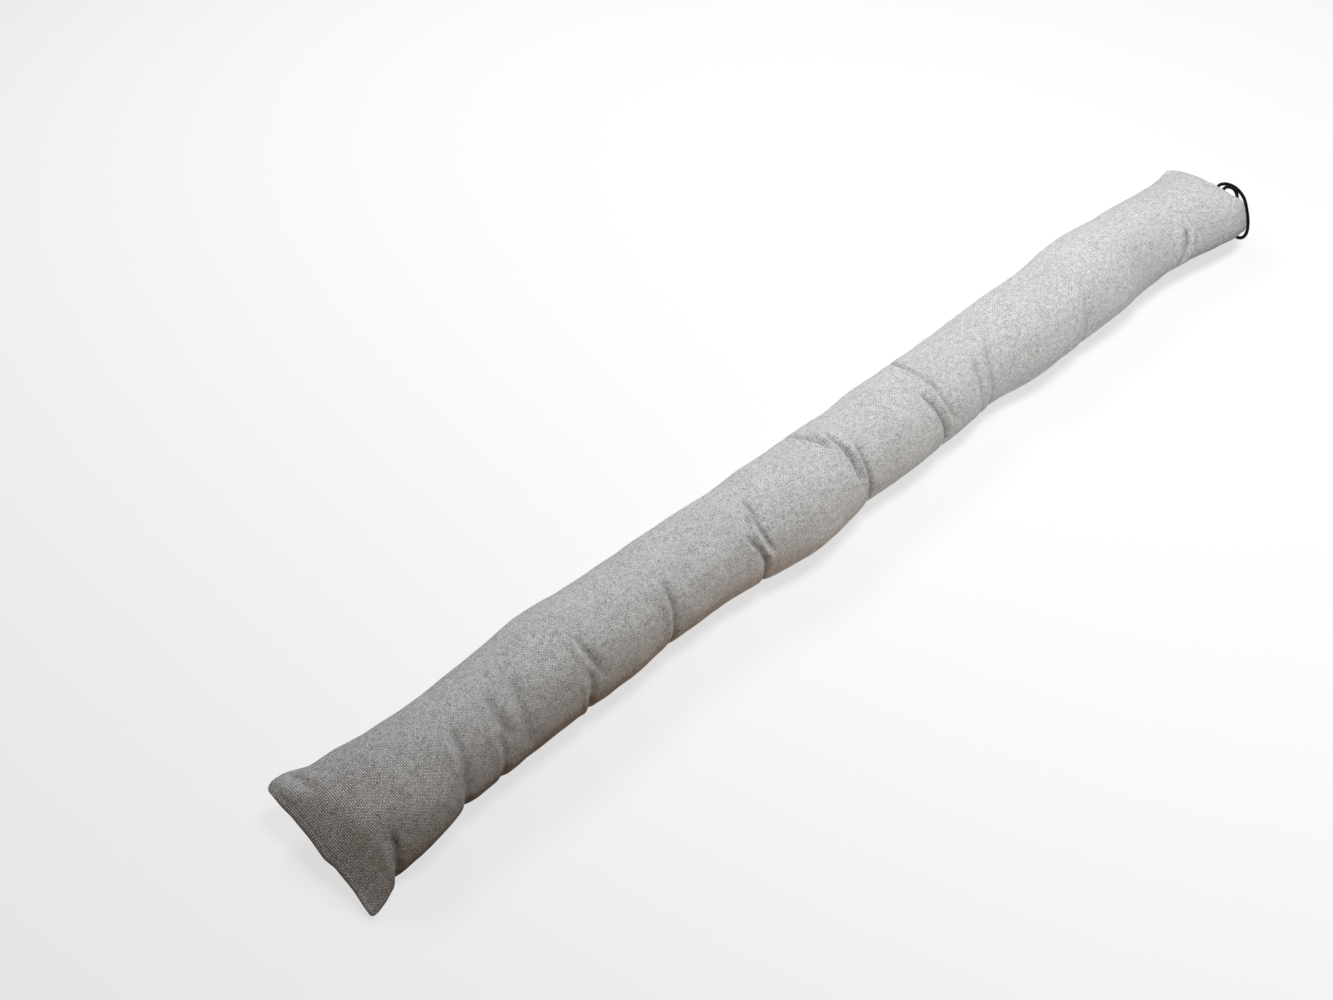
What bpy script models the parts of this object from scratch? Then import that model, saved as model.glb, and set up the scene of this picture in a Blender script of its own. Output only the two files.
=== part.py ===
"""Draught excluder: a long filled cloth tube, sewn flat at both ends, with a cord loop to hang it by.

The tube lies on the floor (z = 0) along X. Its near end is at -X, and the end with the loop is at +X.
-Y is the front. Sizes below are in millimetres, and the objects are built in metres.
"""

import math
from collections import namedtuple

import bmesh
import bpy
from mathutils import Vector

MM = 0.001

# Stations along the tube. Each is a cross-section across X.
# x, y, z: centre of the section, with z above the floor
# half_width, half_height: half of its size along and across the plane of the end seams
# tilt: degrees by which the back side is raised; curl: degrees by which the front side bends down
# corner: 1 is an ellipse, 2 is a lens with sharp sides, and near 0 is a flat strip
# skew: how far the back side is ahead along X; bow: how far all but the two corners is ahead of them
Station = namedtuple("Station", "x y z half_width half_height tilt curl corner skew bow")
STATIONS = (
    Station(-455.0, -2.0, 21.0, 51.0, 1.3, 15.0, 12.0, 0.3, 0.0, 0.0),
    Station(-453.8, -1.8, 21.1, 52.8, 2.8, 15.0, 12.0, 1.0, 0.0, 0.0),
    Station(-450.5, -1.0, 21.5, 54.2, 6.0, 15.0, 13.0, 1.4, 0.0, 0.0),
    Station(-442.0, 0.0, 22.5, 53.2, 13.5, 14.0, 18.0, 1.5, 0.0, 0.0),
    Station(-434.5, 0.2, 23.9, 49.6, 18.8, 12.6, 25.0, 1.35, 0.0, 0.0),
    Station(-428.0, 0.0, 25.4, 46.4, 22.9, 11.0, 29.0, 1.25, 0.0, 0.0),
    Station(-418.0, -1.0, 27.5, 45.5, 27.0, 9.0, 32.0, 1.15, 0.0, 0.0),
    Station(-396.0, -3.2, 30.5, 42.8, 32.0, 6.0, 26.0, 1.05, 0.0, 0.0),
    Station(-364.0, -2.4, 31.8, 38.8, 34.5, 3.0, 4.0, 1.0, 0.0, 0.0),
    Station(-339.0, -1.4, 32.2, 38.5, 35.2, 0.0, 0.0, 1.0, 0.0, 0.0),
    Station(-304.0, -0.3, 32.7, 39.2, 36.0, 0.0, 0.0, 1.0, 0.0, 0.0),
    Station(-264.0, 1.7, 33.7, 40.4, 37.0, 0.0, 0.0, 1.0, 0.0, 0.0),
    Station(-224.0, 1.5, 32.6, 39.1, 35.7, 0.0, 0.0, 1.0, 0.0, 0.0),
    Station(-194.0, 3.1, 31.4, 37.6, 34.5, 0.0, 0.0, 1.0, 0.0, 0.0),
    Station(-134.0, 1.6, 31.2, 37.3, 34.2, 0.0, 0.0, 1.0, 0.0, 0.0),
    Station(-104.0, -1.8, 31.6, 38.0, 34.7, 0.0, 0.0, 1.0, 0.0, 0.0),
    Station(-62.0, -4.6, 34.2, 40.8, 37.2, 0.0, 0.0, 1.0, 0.0, 0.0),
    Station(-24.0, -2.6, 32.8, 39.4, 36.0, 0.0, 0.0, 1.0, 0.0, 0.0),
    Station(16.0, -0.9, 31.5, 37.7, 34.5, 0.0, 0.0, 1.0, 0.0, 0.0),
    Station(46.0, -0.9, 32.4, 38.8, 35.5, 0.0, 0.0, 1.0, 0.0, 0.0),
    Station(96.0, 0.4, 31.6, 37.9, 34.7, 0.0, 0.0, 1.0, 0.0, 0.0),
    Station(146.0, 3.4, 29.8, 36.0, 32.8, 0.0, 0.0, 1.0, 0.0, 0.0),
    Station(196.0, -0.7, 32.8, 39.3, 35.9, 0.0, 0.0, 1.0, 0.0, 0.0),
    Station(231.0, 0.3, 32.4, 38.8, 35.5, 0.0, 0.0, 1.0, 0.0, 0.0),
    Station(286.0, 1.5, 34.0, 40.8, 37.3, 0.0, 0.0, 1.0, 0.0, 0.0),
    Station(341.0, 2.9, 31.4, 37.3, 34.3, 2.0, 0.0, 1.0, 0.0, 0.0),
    Station(381.0, 0.2, 31.0, 37.8, 31.5, 3.0, 12.0, 1.05, -1.0, 0.5),
    Station(411.0, -3.3, 32.5, 39.8, 26.5, 2.0, 38.0, 1.15, -2.5, 1.5),
    Station(431.0, -7.0, 37.5, 43.5, 18.0, 0.0, 68.0, 1.3, -4.5, 3.0),
    Station(441.0, -9.0, 41.5, 46.0, 9.5, -2.0, 88.0, 1.4, -5.5, 4.5),
    Station(446.0, -10.0, 43.6, 47.0, 1.6, -3.0, 96.0, 0.3, -6.0, 5.0),
)
# The curl starts at this part of the half width; a higher power ends the bow nearer to the corners
CURL_START = -0.15
BOW_POWER = 6

# Creases that run round the tube. Angles are degrees round a section: 0 back, 90 top, 180 front.
# x, angle, lean: the line passes x at this angle, and moves by lean toward +X over each further 90 degrees
# start, end: the angles between which it is creased; depth, width: how deep and how wide the trough is
Crease = namedtuple("Crease", "x angle lean start end depth width")
CREASES = (
    Crease(-367.0, 180.0, -6.0, 135.0, 215.0, 1.8, 5.0),
    Crease(-263.0, 160.0, -10.0, 120.0, 205.0, 1.2, 6.0),
    Crease(-195.0, 160.0, -8.0, 120.0, 190.0, 1.0, 5.5),
    Crease(-105.0, 150.0, 0.0, 95.0, 215.0, 2.4, 4.5),
    Crease(-12.0, 130.0, 16.0, 50.0, 215.0, 3.0, 4.5),
    Crease(76.5, 130.0, 5.0, 45.0, 215.0, 3.0, 4.5),
    Crease(126.5, 160.0, -5.0, 120.0, 205.0, 1.8, 5.0),
    Crease(244.5, 165.0, -6.0, 140.0, 205.0, 1.4, 5.0),
    Crease(365.0, 170.0, -8.0, 140.0, 215.0, 1.6, 5.0),
)
# A crease fades in and out over this many degrees
CREASE_FADE = 24.0

# Mesh of the cover: points round a section, and the step between sections along the tube,
# which is fine this near to a crease and smaller again near the ends
SIDES = 36
COARSE_STEP = 10.0
FINE_STEP = 4.5
CREASE_REACH = 12.0
SMALLEST_STEP = 1.5
END_STEP_RATIO = 0.35

# Hanging loop: its route from one sewn end to the other, over the end of the tube and down to the floor
CORD_DIAMETER = 2.8
CORD_PITCH = 2.1 * CORD_DIAMETER
CORD_ROUTE = (
    (451.4, -8.0, 43.4),
    (458.5, -6.2, 43.6),
    (466.0, -8.0, 41.2),
    (472.0, -14.5, 37.0),
    (475.0, -22.5, 29.8),
    (474.0, -29.5, 20.5),
    (472.5, -35.0, 11.5),
    (469.0, -38.0, 4.6),
    (463.5, -37.0, 2.0),
    (460.0, -32.0, 3.5),
    (460.0, -27.0, 10.0),
    (463.0, -23.5, 18.5),
    (466.5, -20.5, 26.5),
    (467.5, -17.5, 33.5),
    (464.5, -14.5, 39.5),
    (458.5, -13.3, 42.8),
    (452.0, -13.5, 43.3),
)

# Colours and finish
CLOTH_COLOUR = (0.50, 0.50, 0.48, 1.0)
CLOTH_ROUGHNESS = 0.9
CORD_COLOUR = (0.012, 0.012, 0.013, 1.0)
CORD_ROUGHNESS = 0.6


def clear_scene():
    for obj in list(bpy.data.objects):
        bpy.data.objects.remove(obj, do_unlink=True)


def cloth_like(name, colour, roughness):
    """A non-metallic material."""
    material = bpy.data.materials.new(name)
    material.use_nodes = True
    shader = material.node_tree.nodes["Principled BSDF"]
    shader.inputs["Base Color"].default_value = colour
    shader.inputs["Roughness"].default_value = roughness
    shader.inputs["Metallic"].default_value = 0.0
    return material


def slopes(xs, values):
    """Slopes of a curve through the points that never overshoots them."""
    chords = [(values[i + 1] - values[i]) / (xs[i + 1] - xs[i]) for i in range(len(xs) - 1)]
    found = [chords[0]]
    for before, after in zip(chords, chords[1:]):
        same_way = before * after > 0.0
        found.append(2.0 * before * after / (before + after) if same_way else 0.0)
    found.append(chords[-1])
    return found


def station_at(x):
    """The section at x, read from a smooth curve through the stations."""
    xs = [station.x for station in STATIONS]
    index = max(i for i in range(len(xs) - 1) if xs[i] <= x or i == 0)
    span = xs[index + 1] - xs[index]
    t = (x - xs[index]) / span
    columns = []
    for values in zip(*STATIONS):
        slope = slopes(xs, values)
        columns.append(
            (1.0 + 2.0 * t) * (1.0 - t) ** 2 * values[index]
            + t * (1.0 - t) ** 2 * span * slope[index]
            + t * t * (3.0 - 2.0 * t) * values[index + 1]
            + t * t * (t - 1.0) * span * slope[index + 1]
        )
    return Station(*columns)


def ease(value):
    """0 below 0, 1 above 1, and smooth between."""
    value = min(1.0, max(0.0, value))
    return value * value * (3.0 - 2.0 * value)


def crease_depth(x, angle):
    """How far the cloth is drawn in at x and at this angle round the section."""
    depth = 0.0
    for crease in CREASES:
        fade = ease((angle - crease.start) / CREASE_FADE) * ease((crease.end - angle) / CREASE_FADE)
        line = crease.x + crease.lean * (angle - crease.angle) / 90.0
        depth += crease.depth * fade * math.exp(-(((x - line) / crease.width) ** 2))
    return depth


def bend(station, u, v):
    """The point u along and v above a section's middle line, once its front side has curled down."""
    start = CURL_START * station.half_width
    curl = math.radians(station.curl)
    if u >= start or curl < 0.001:
        return u, v
    radius = (station.half_width + start) / curl
    turn = (start - u) / radius
    return (
        start - (radius + v) * math.sin(turn),
        (radius + v) * math.cos(turn) - radius,
    )


def section_points(x):
    """Points round the section at x, from the back over the top to the front and back underneath."""
    station = station_at(x)
    tilt = math.radians(station.tilt)
    points = []
    for side in range(SIDES):
        angle = 360.0 * side / SIDES
        across = math.cos(math.radians(angle))
        up = math.sin(math.radians(angle))
        u = station.half_width * across
        v = station.half_height * math.copysign(abs(up) ** station.corner, up)
        drawn_in = 1.0 - crease_depth(x, angle) / math.hypot(u, v)
        u, v = bend(station, u * drawn_in, v * drawn_in)
        points.append(Vector((
            x + station.skew * across + station.bow * (1.0 - across ** BOW_POWER),
            station.y + u * math.cos(tilt) - v * math.sin(tilt),
            max(0.0, station.z + u * math.sin(tilt) + v * math.cos(tilt)),
        )) * MM)
    return points


def section_positions():
    """Where the mesh has a section: close together at the ends and the creases, wider apart between."""
    start = STATIONS[0].x
    end = STATIONS[-1].x
    positions = [start]
    while positions[-1] < end:
        x = positions[-1]
        from_end = min(x - start, end - x)
        near_crease = any(abs(x - crease.x) < CREASE_REACH for crease in CREASES)
        step = FINE_STEP if near_crease else COARSE_STEP
        step = min(step, max(SMALLEST_STEP, END_STEP_RATIO * from_end))
        positions.append(x + step)
    positions[-1] = end
    if positions[-1] - positions[-2] < SMALLEST_STEP / 2.0:
        positions.pop(-2)
    return positions


def make_cover():
    """The filled cloth tube, closed at each end by the narrow edge of its seam."""
    bm = bmesh.new()
    rings = [[bm.verts.new(point) for point in section_points(x)] for x in section_positions()]
    for ring, after in zip(rings, rings[1:]):
        for side in range(SIDES):
            next_side = (side + 1) % SIDES
            bm.faces.new((ring[side], ring[next_side], after[next_side], after[side]))
    for ring, outward in ((rings[0], -1), (rings[-1], 1)):
        for side in range(SIDES // 2):
            corners = [ring[side], ring[side + 1], ring[-side - 1], ring[-side % SIDES]]
            bm.faces.new(list(dict.fromkeys(corners))[::outward])
    bmesh.ops.recalc_face_normals(bm, faces=bm.faces)
    mesh = bpy.data.meshes.new("cover")
    bm.to_mesh(mesh)
    bm.free()
    mesh.shade_smooth()
    mesh.materials.append(cloth_like("light_grey_cloth", CLOTH_COLOUR, CLOTH_ROUGHNESS))
    cover = bpy.data.objects.new("cover", mesh)
    bpy.context.collection.objects.link(cover)


def smooth_route(route, pitch):
    """Points about a pitch apart on a smooth curve through the route's points."""
    knots = [Vector(point) for point in route]
    knots = [2.0 * knots[0] - knots[1]] + knots + [2.0 * knots[-1] - knots[-2]]
    points = [knots[1]]
    for p0, p1, p2, p3 in zip(knots, knots[1:], knots[2:], knots[3:]):
        steps = max(1, round((p2 - p1).length / pitch))
        for step in range(1, steps + 1):
            t = step / steps
            points.append(0.5 * (
                2.0 * p1
                + (p2 - p0) * t
                + (2.0 * p0 - 5.0 * p1 + 4.0 * p2 - p3) * t ** 2
                + (3.0 * p1 - p0 - 3.0 * p2 + p3) * t ** 3
            ))
    return points


def make_hanging_loop():
    """The cord, folded in two, from one sewn end round its bend to the other."""
    curve = bpy.data.curves.new("hanging_loop", "CURVE")
    curve.dimensions = "3D"
    curve.bevel_depth = CORD_DIAMETER / 2.0 * MM
    curve.bevel_resolution = 2
    curve.use_fill_caps = True
    points = smooth_route(CORD_ROUTE, CORD_PITCH)
    spline = curve.splines.new("POLY")
    spline.points.add(len(points) - 1)
    for target, point in zip(spline.points, points):
        target.co = (*(point * MM), 1.0)
    curve.materials.append(cloth_like("black_cord", CORD_COLOUR, CORD_ROUGHNESS))
    loop = bpy.data.objects.new("hanging_loop", curve)
    bpy.context.collection.objects.link(loop)


clear_scene()
make_cover()
make_hanging_loop()
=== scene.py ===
"""Draught excluder: a long filled cloth tube with flat sewn ends and a cord loop, in a plain studio.

The tube lies on the floor (z = 0) along X. Its near end is at -X, and the end with the loop is at +X.
-Y is the front. Tables of sizes are in millimetres and degrees, and objects are made in metres.
"""

import math
from collections import namedtuple

import bmesh
import bpy
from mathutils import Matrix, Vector, noise


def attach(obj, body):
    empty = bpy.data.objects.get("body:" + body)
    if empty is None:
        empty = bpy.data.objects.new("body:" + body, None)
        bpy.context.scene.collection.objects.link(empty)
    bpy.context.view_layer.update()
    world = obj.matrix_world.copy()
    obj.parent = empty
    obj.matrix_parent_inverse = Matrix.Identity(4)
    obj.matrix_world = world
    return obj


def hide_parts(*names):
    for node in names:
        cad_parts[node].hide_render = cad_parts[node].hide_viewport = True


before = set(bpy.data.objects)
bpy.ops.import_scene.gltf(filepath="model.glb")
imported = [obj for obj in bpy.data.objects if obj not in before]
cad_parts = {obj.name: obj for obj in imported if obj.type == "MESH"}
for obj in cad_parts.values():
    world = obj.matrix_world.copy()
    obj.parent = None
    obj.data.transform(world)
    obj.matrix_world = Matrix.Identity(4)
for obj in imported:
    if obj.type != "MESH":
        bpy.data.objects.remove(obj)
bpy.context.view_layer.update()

bl_info = {
    "name": "Draught excluder",
    "version": (1, 0, 0),
    "blender": (4, 5, 0),
    "location": "3D View > Sidebar > Draught excluder",
    "description": "Makes a filled cloth draught excluder with its hanging loop, and a plain studio",
    "category": "Object",
}

MM = 0.001

# Cross-sections of the filled tube along X, the same ones as in the part's source.
# x, y, z: centre of the section, with z above the floor
# half_width, half_height: half of its size along and across the plane of the end seams
# tilt: degrees by which the back side is raised; curl: degrees by which the front side bends down
# corner: 1 is an ellipse, 2 is a lens with sharp sides, and near 0 is a flat strip
# skew: how far the back side is ahead along X; bow: how far all but the two corners is ahead of them
Station = namedtuple("Station", "x y z half_width half_height tilt curl corner skew bow")
STATIONS = (
    Station(-455.0, -2.0, 21.0, 51.0, 1.3, 15.0, 12.0, 0.3, 0.0, 0.0),
    Station(-453.8, -1.8, 21.1, 52.8, 2.8, 15.0, 12.0, 1.0, 0.0, 0.0),
    Station(-450.5, -1.0, 21.5, 54.2, 6.0, 15.0, 13.0, 1.4, 0.0, 0.0),
    Station(-442.0, 0.0, 22.5, 53.2, 13.5, 14.0, 18.0, 1.5, 0.0, 0.0),
    Station(-434.5, 0.2, 23.9, 49.6, 18.8, 12.6, 25.0, 1.35, 0.0, 0.0),
    Station(-428.0, 0.0, 25.4, 46.4, 22.9, 11.0, 29.0, 1.25, 0.0, 0.0),
    Station(-418.0, -1.0, 27.5, 45.5, 27.0, 9.0, 32.0, 1.15, 0.0, 0.0),
    Station(-396.0, -3.2, 30.5, 42.8, 32.0, 6.0, 26.0, 1.05, 0.0, 0.0),
    Station(-364.0, -2.4, 31.8, 38.8, 34.5, 3.0, 4.0, 1.0, 0.0, 0.0),
    Station(-339.0, -1.4, 32.2, 38.5, 35.2, 0.0, 0.0, 1.0, 0.0, 0.0),
    Station(-304.0, -0.3, 32.7, 39.2, 36.0, 0.0, 0.0, 1.0, 0.0, 0.0),
    Station(-264.0, 1.7, 33.7, 40.4, 37.0, 0.0, 0.0, 1.0, 0.0, 0.0),
    Station(-224.0, 1.5, 32.6, 39.1, 35.7, 0.0, 0.0, 1.0, 0.0, 0.0),
    Station(-194.0, 3.1, 31.4, 37.6, 34.5, 0.0, 0.0, 1.0, 0.0, 0.0),
    Station(-134.0, 1.6, 31.2, 37.3, 34.2, 0.0, 0.0, 1.0, 0.0, 0.0),
    Station(-104.0, -1.8, 31.6, 38.0, 34.7, 0.0, 0.0, 1.0, 0.0, 0.0),
    Station(-62.0, -4.6, 34.2, 40.8, 37.2, 0.0, 0.0, 1.0, 0.0, 0.0),
    Station(-24.0, -2.6, 32.8, 39.4, 36.0, 0.0, 0.0, 1.0, 0.0, 0.0),
    Station(16.0, -0.9, 31.5, 37.7, 34.5, 0.0, 0.0, 1.0, 0.0, 0.0),
    Station(46.0, -0.9, 32.4, 38.8, 35.5, 0.0, 0.0, 1.0, 0.0, 0.0),
    Station(96.0, 0.4, 31.6, 37.9, 34.7, 0.0, 0.0, 1.0, 0.0, 0.0),
    Station(146.0, 3.4, 29.8, 36.0, 32.8, 0.0, 0.0, 1.0, 0.0, 0.0),
    Station(196.0, -0.7, 32.8, 39.3, 35.9, 0.0, 0.0, 1.0, 0.0, 0.0),
    Station(231.0, 0.3, 32.4, 38.8, 35.5, 0.0, 0.0, 1.0, 0.0, 0.0),
    Station(286.0, 1.5, 34.0, 40.8, 37.3, 0.0, 0.0, 1.0, 0.0, 0.0),
    Station(341.0, 2.9, 31.4, 37.3, 34.3, 2.0, 0.0, 1.0, 0.0, 0.0),
    Station(381.0, 0.2, 31.0, 37.8, 31.5, 3.0, 12.0, 1.05, -1.0, 0.5),
    Station(411.0, -3.3, 32.5, 39.8, 26.5, 2.0, 38.0, 1.15, -2.5, 1.5),
    Station(431.0, -7.0, 37.5, 43.5, 18.0, 0.0, 68.0, 1.3, -4.5, 3.0),
    Station(441.0, -9.0, 41.5, 46.0, 9.5, -2.0, 88.0, 1.4, -5.5, 4.5),
    Station(446.0, -10.0, 43.6, 47.0, 1.6, -3.0, 96.0, 0.3, -6.0, 5.0),
)
# The curl starts at this part of the half width; a higher power ends the bow nearer to the corners
CURL_START = -0.15
BOW_POWER = 6

# Broad dips where the filled tube gives at its creases.
# x, angle, lean: the line passes x at this angle, and moves by lean toward +X over each further 90 degrees
# start, end: the angles between which it dips; depth, width: how deep and how wide it is
Dip = namedtuple("Dip", "x angle lean start end depth width")
DIPS = (
    Dip(-367.0, 180.0, -6.0, 135.0, 215.0, 0.9, 7.0),
    Dip(-263.0, 160.0, -10.0, 120.0, 205.0, 0.7, 8.0),
    Dip(-195.0, 160.0, -8.0, 120.0, 190.0, 0.6, 8.0),
    Dip(-105.0, 150.0, 0.0, 95.0, 215.0, 1.3, 7.0),
    Dip(-12.0, 130.0, 16.0, 50.0, 215.0, 1.6, 8.0),
    Dip(82.0, 130.0, 2.0, 45.0, 215.0, 1.6, 8.0),
    Dip(130.0, 160.0, -5.0, 120.0, 205.0, 1.0, 7.0),
    Dip(244.5, 165.0, -6.0, 140.0, 205.0, 0.8, 7.0),
    Dip(369.0, 170.0, -8.0, 140.0, 215.0, 0.9, 7.0),
)
# A dip or a fold fades in and out over this many degrees
FADE = 16.0

# Folds in the cloth: a line of (degrees round from the back, x) and the height of the cloth on it,
# below zero for a trough and above for a ridge, with the width that it spreads over.
Fold = namedtuple("Fold", "line height width")
FOLDS = (
    # The crease a third of the way along
    Fold(((78, -95.0), (92, -97.0), (105, -98.0), (122, -101.0), (141, -101.0), (164, -98.5)), -2.3, 1.7),
    Fold(((90, -100.6), (113, -103.2), (130, -105.4), (143, -105.4), (174, -102.0)), 1.5, 1.9),
    Fold(((122, -112.5), (135, -111.0), (153, -108.0), (166, -106.4), (183, -106.5), (212, -104.5),
          (242, -103.5)), -2.7, 2.1),
    # The crease at the middle
    Fold(((18, -26.2), (36, -24.4), (52, -22.6), (72, -20.3), (88, -17.6), (110, -14.6)), -2.7, 2.3),
    Fold(((40, -30.0), (56, -28.4), (72, -26.0), (90, -22.8), (116, -19.4)), 1.8, 2.4),
    Fold(((60, -13.6), (76, -13.6), (94, -14.2), (120, -14.6)), 1.8, 2.0),
    Fold(((76, -10.0), (90, -9.0), (105, -8.9), (120, -9.1), (137, -10.1), (158, -11.2)), -2.8, 2.1),
    Fold(((98, -4.4), (112, -4.6), (129, -4.7), (142, -5.6), (156, -6.8), (180, -8.0)), 2.2, 2.0),
    Fold(((104, 2.4), (116, 1.2), (138, -0.9), (153, -1.7), (179, -1.4), (210, 0.5), (242, 1.5)),
         -2.7, 2.1),
    # The crease past the middle
    Fold(((16, 92.4), (26, 91.2), (38, 89.0), (52, 85.9), (74, 84.7), (100, 85.6), (124, 88.0)), -2.1, 1.9),
    Fold(((34, 83.5), (52, 80.5), (74, 79.2), (98, 79.8)), 1.5, 2.4),
    Fold(((106, 87.5), (118, 86.8), (135, 86.6), (147, 88.0), (172, 91.5)), -1.9, 1.7),
    Fold(((98, 77.6), (110, 78.8), (123, 80.5), (137, 81.8), (155, 83.4), (180, 85.6)), 2.1, 2.0),
    Fold(((104, 70.6), (116, 73.0), (130, 75.2), (144, 77.2), (169, 79.8), (212, 82.0), (242, 83.0)),
         -2.9, 2.1),
    # Softer folds toward the loop
    Fold(((112, 133.0), (122, 131.0), (140, 128.6), (165, 125.5), (204, 128.0), (240, 129.0)), -1.5, 2.2),
    Fold(((105, 141.0), (115, 140.0), (127, 138.1), (146, 133.7), (183, 132.6)), 1.1, 2.2),
    Fold(((110, 150.0), (120, 147.0), (133, 144.0), (153, 140.0), (196, 138.0), (236, 138.5)), -1.6, 2.6),
    Fold(((122, 248.5), (132, 247.5), (145, 246.0), (178, 243.6), (206, 243.0), (240, 243.0)), -1.5, 2.8),
    Fold(((120, 255.0), (130, 254.0), (150, 252.0), (184, 250.0)), 0.7, 3.0),
    Fold(((127, 379.6), (140, 377.6), (150, 376.0), (160, 375.0), (170, 372.6), (182, 368.5),
          (196, 364.5), (240, 359.0)), -4.4, 1.6),
    Fold(((130, 385.0), (147, 382.2), (160, 380.6), (172, 378.0), (186, 373.0), (204, 367.5)), 1.4, 2.0),
    Fold(((118, 374.0), (134, 371.5), (152, 369.5), (172, 365.5), (196, 358.5)), 1.2, 4.0),
    # Softer folds toward the near end
    Fold(((112, -182.0), (126, -182.6), (140, -183.8), (154, -185.6), (166, -187.6), (180, -189.0),
          (206, -192.0), (236, -194.0)), -2.3, 2.8),
    Fold(((108, -187.0), (123, -188.2), (136, -190.0), (150, -192.0), (168, -194.0), (192, -197.5)),
         1.6, 2.8),
    Fold(((118, -171.5), (136, -172.5), (156, -173.6), (180, -174.5)), 0.9, 2.6),
    Fold(((104, -256.6), (121, -256.6), (133, -256.2), (144, -254.9), (156, -252.8), (170, -251.0)),
         -2.0, 2.8),
    Fold(((98, -263.0), (121, -263.0), (135, -262.4), (150, -260.4)), 1.2, 2.8),
    Fold(((142, -259.4), (158, -260.6), (170, -262.0), (182, -264.9), (210, -267.0), (240, -268.5)),
         -2.3, 3.1),
    Fold(((138, -267.0), (156, -269.0), (170, -270.2), (186, -271.0), (208, -273.0)), 1.7, 2.6),
    Fold(((94, -305.0), (112, -308.4), (128, -311.0), (148, -314.0), (164, -316.0), (180, -318.0)),
         -1.7, 4.2),
    Fold(((96, -327.6), (112, -328.0), (122, -328.6), (134, -328.2), (146, -327.6), (160, -327.6)),
         -1.9, 3.8),
    Fold(((134, -332.6), (150, -334.0), (164, -335.4), (180, -338.4), (204, -340.6), (228, -342.0)),
         -1.7, 3.0),
    Fold(((124, -338.6), (140, -339.6), (156, -341.0), (170, -342.6), (190, -346.2)), 1.6, 2.8),
    Fold(((98, -355.0), (118, -358.4), (136, -361.0), (157, -365.0), (176, -369.5), (210, -371.0),
          (232, -372.0)), -1.9, 3.4),
    Fold(((104, -363.5), (122, -367.0), (136, -369.4), (154, -374.0), (180, -378.8)), 1.6, 2.8),
    # The filling ends in a soft roll along the near end
    Fold(((16, -438.5), (46, -436.5), (74, -433.0), (100, -431.5), (124, -431.5), (150, -432.0),
          (180, -434.0)), 1.1, 7.5),
    # The ear at the near end's front corner
    Fold(((130, -427.5), (150, -430.0), (163, -431.8), (190, -435.5)), 0.9, 2.8),
    Fold(((122, -419.5), (140, -422.7), (158, -425.9), (188, -430.5)), -2.9, 2.6),
    # The ear at the near end's back corner
    Fold(((0, -449.0), (20, -448.5), (48, -446.5)), 0.7, 3.6),
    Fold(((0, -439.5), (20, -439.5), (52, -437.5)), -1.7, 3.6),
)

# The stitched line of each end seam: how far in from the end it lies, how deep it is pulled in, its width
SEAM_INSET = 3.6
SEAM_DEPTH = 0.15
SEAM_WIDTH = 0.9
# How far the edge of each end is moved along X at angles from its back corner (0) to its front one (180),
# and how far from the end this is felt
NEAR_EDGE = ((0, -2.2), (20, -1.9), (46, -0.7), (73, -0.4), (98, -1.05), (118, 0.8), (145, 1.2),
             (168, 0.5), (180, 0.4))
FAR_EDGE = ((0, 1.8), (21, 3.8), (50, 3.3), (74, 1.2), (90, -0.1), (108, -1.6), (127, 1.8), (143, -1.8),
            (156, -3.5), (170, -2.6), (180, -1.4))
EDGE_REACH = 22.0

# Mesh of the cover: faces round the tube, the step between sections, and the finer one near a fold
SIDES = 64
COARSE_STEP = 4.6
FINE_STEP = 1.7
FOLD_REACH = 9.0
SMALLEST_STEP = 0.7
# Toward the ends a step is this share of the distance from the end
END_STEP_RATIO = 0.35
SECTION_SAMPLES = 90
# Folds whose middle is farther off than this aren't felt
FOLD_SEARCH = 30.0

# The cloth is drawn in by this much first, where the tube is at least this high, and may then swell
# by at most this much
DRAWN_IN = 0.8
DRAWN_IN_HEIGHT = 15.0
LARGEST_SWELL = 2.0
# The filling's push on the cloth lasts this many frames. Each end is held up to the first distance
# from it, and less and less over the second.
SWELL_FRAMES = 20
HELD_END = 3.0
HELD_FADE = 14.0
# Folds and lumps fade in over this height above the floor
FLOOR_FADE = 2.0
# Soft lumps of the filling under the cloth: their size and height, and how far from an end they start
LUMPS = ((46.0, 1.2), (20.0, 0.6), (9.0, 0.22))
LUMPS_FADE = 30.0

# Painted shade in the folds: troughs this deep are fully dark, and a higher power keeps it to their bottoms
DEEPEST_SHADE = 3.0
SHADE_POWER = 1.6
# Painted shade along the near seam: how dark, where it starts to fade, and over how much
NEAR_SHADE = 0.4
NEAR_SHADE_START = 2.0
NEAR_SHADE_REACH = 17.0
# The cloth's colour is multiplied by this where the painted shade is full
SHADE_COLOUR = (0.52, 0.52, 0.53, 1.0)
# Uneven tone of the cloth: how fine (per metre), how rough, and how much lighter or darker it gets
PATCHES = ((30.0, 2.0, 0.03), (210.0, 1.0, 0.08), (480.0, 1.0, 0.05))

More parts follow.
